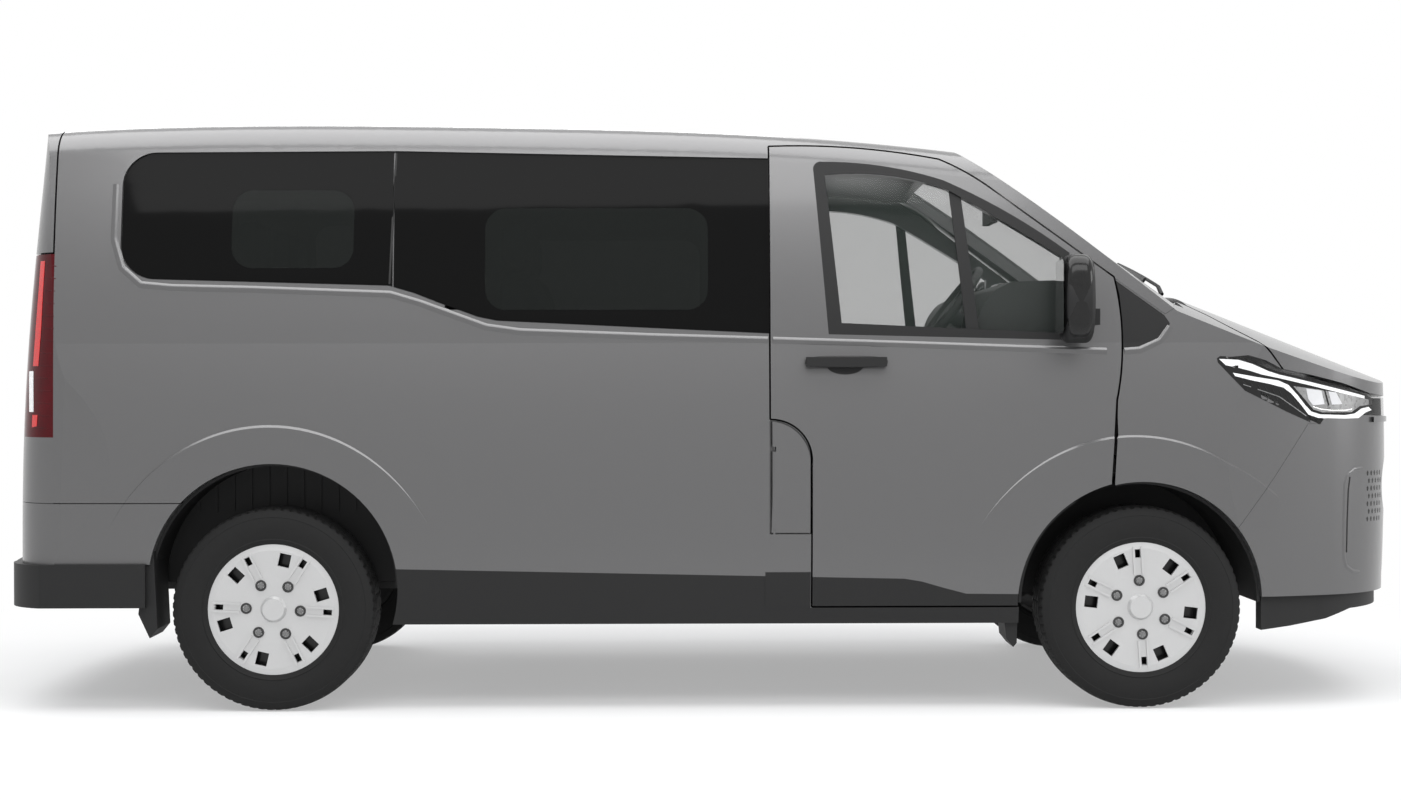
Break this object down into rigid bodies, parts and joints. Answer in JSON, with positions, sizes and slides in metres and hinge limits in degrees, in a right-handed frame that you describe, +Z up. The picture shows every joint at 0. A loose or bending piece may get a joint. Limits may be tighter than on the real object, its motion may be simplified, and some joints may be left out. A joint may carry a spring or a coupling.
{
  "type": "short-wheelbase minibus",
  "caption": "Front-engined minibus with hinged cab doors, a sliding side door, a lifting tailgate, seats in rows, steered front wheels and turning rear wheels.",
  "frame": {"origin": "on the ground, under the middle of the vehicle's length and width", "axes": "+X to the front, +Y to the left, +Z up"},
  "size_m": [4.9278, 2.3554, 2.0276],
  "materials": {
    "body_paint": "metallic grey paint under clear lacquer",
    "black_plastic": "grained black plastic",
    "dark_glass": "dark privacy glass",
    "tinted_glass": "lightly green-tinted glass",
    "lamp_lens": "clear moulded lens",
    "red_lens": "dark red lens",
    "dark_steel": "black chassis paint",
    "bare_steel": "dull exhaust steel",
    "cast_metal": "raw casting",
    "seat_cloth": "dark woven cloth",
    "soft_rubber": "matt rubber",
    "tyre_rubber": "matt tread rubber",
    "wheel_silver": "silver lacquer"
  },
  "bodies": {
    "body": {"body_side_right": "body_paint", "body_side_left": "body_paint", "sliding_door": "body_paint", "sill_trims": "black_plastic", "side_glass": "dark_glass", "sliding_door_glass": "dark_glass", "roof": "body_paint", "windscreen": "tinted_glass", "cowl": "black_plastic", "headlamps": "lamp_lens", "front_bumper": "body_paint", "grille": "black_plastic", "fender_right": "body_paint", "fender_left": "body_paint", "front_lip": "black_plastic", "tail_lamps": "red_lens", "tail_panels": "body_paint", "rear_skirt": "black_plastic", "floor": "dark_steel", "arch_liners": "black_plastic", "front_frame": "dark_steel", "engine": "cast_metal", "fuel_tank": "black_plastic", "exhaust": "bare_steel", "front_suspension": "dark_steel", "rear_axle": "dark_steel", "leaf_springs": "dark_steel", "front_seats": "seat_cloth", "middle_seats": "seat_cloth", "rear_seats": "seat_cloth", "dash": "black_plastic", "inside_mirror": "black_plastic", "mud_flaps": "soft_rubber"},
    "door_right": {"door_right": "body_paint", "door_glass_right": "tinted_glass", "door_trim_right": "black_plastic"},
    "door_left": {"door_left": "body_paint", "door_glass_left": "tinted_glass", "door_trim_left": "black_plastic"},
    "tailgate": {"tailgate": "body_paint", "tailgate_glass": "dark_glass"},
    "bonnet": {"bonnet": "body_paint"},
    "fuel_flap": {"fuel_flap": "body_paint"},
    "knuckle_right": {"knuckle_right": "dark_steel"},
    "knuckle_left": {"knuckle_left": "dark_steel"},
    "wheel_front_right": {"tyre_front_right": "tyre_rubber", "wheel_front_right": "wheel_silver"},
    "wheel_front_left": {"tyre_front_left": "tyre_rubber", "wheel_front_left": "wheel_silver"},
    "wheel_rear_right": {"tyre_rear_right": "tyre_rubber", "wheel_rear_right": "wheel_silver"},
    "wheel_rear_left": {"tyre_rear_left": "tyre_rubber", "wheel_rear_left": "wheel_silver"},
    "steering_wheel": {"steering_wheel": "black_plastic"}
  },
  "joints": [
    {"name": "door_right_hinge", "type": "hinge", "parent": "body", "child": "door_right", "pos_m": [1.31, -0.942, 0.98], "axis": [0, 0, 1], "range_deg": [0, 70]},
    {"name": "door_left_hinge", "type": "hinge", "parent": "body", "child": "door_left", "pos_m": [1.31, 0.942, 0.98], "axis": [0, 0, -1], "range_deg": [0, 70]},
    {"name": "tailgate_hinge", "type": "hinge", "parent": "body", "child": "tailgate", "pos_m": [-2.241, 0, 1.99], "axis": [0, 1, 0], "range_deg": [0, 80]},
    {"name": "bonnet_hinge", "type": "hinge", "parent": "body", "child": "bonnet", "pos_m": [1.64, 0, 1.375], "axis": [0, -1, 0], "range_deg": [0, 50]},
    {"name": "fuel_flap_hinge", "type": "hinge", "parent": "body", "child": "fuel_flap", "pos_m": [0.215, -0.977, 0.79], "axis": [0, 0, -1], "range_deg": [0, 100]},
    {"name": "steer_right", "type": "hinge", "parent": "body", "child": "knuckle_right", "pos_m": [1.459, -0.8, 0.343], "axis": [0, 0, 1], "range_deg": [-33, 33]},
    {"name": "steer_left", "type": "hinge", "parent": "body", "child": "knuckle_left", "pos_m": [1.459, 0.8, 0.343], "axis": [0, 0, 1], "range_deg": [-33, 33]},
    {"name": "spin_front_right", "type": "hinge", "parent": "knuckle_right", "child": "wheel_front_right", "pos_m": [1.459, -0.8575, 0.343], "axis": [0, 1, 0], "continuous": true},
    {"name": "spin_front_left", "type": "hinge", "parent": "knuckle_left", "child": "wheel_front_left", "pos_m": [1.459, 0.8575, 0.343], "axis": [0, 1, 0], "continuous": true},
    {"name": "spin_rear_right", "type": "hinge", "parent": "body", "child": "wheel_rear_right", "pos_m": [-1.474, -0.8575, 0.343], "axis": [0, 1, 0], "continuous": true},
    {"name": "spin_rear_left", "type": "hinge", "parent": "body", "child": "wheel_rear_left", "pos_m": [-1.474, 0.8575, 0.343], "axis": [0, 1, 0], "continuous": true},
    {"name": "steering_wheel_turn", "type": "hinge", "parent": "body", "child": "steering_wheel", "pos_m": [0.873, -0.38, 1.362], "axis": [-0.7944, 0, 0.6073], "range_deg": [-500, 500]}
  ],
  "couplings": [
    {"joint": "steer_left", "follows": "steer_right", "ratio": 1},
    {"joint": "steering_wheel_turn", "follows": "steer_right", "ratio": 15}
  ]
}
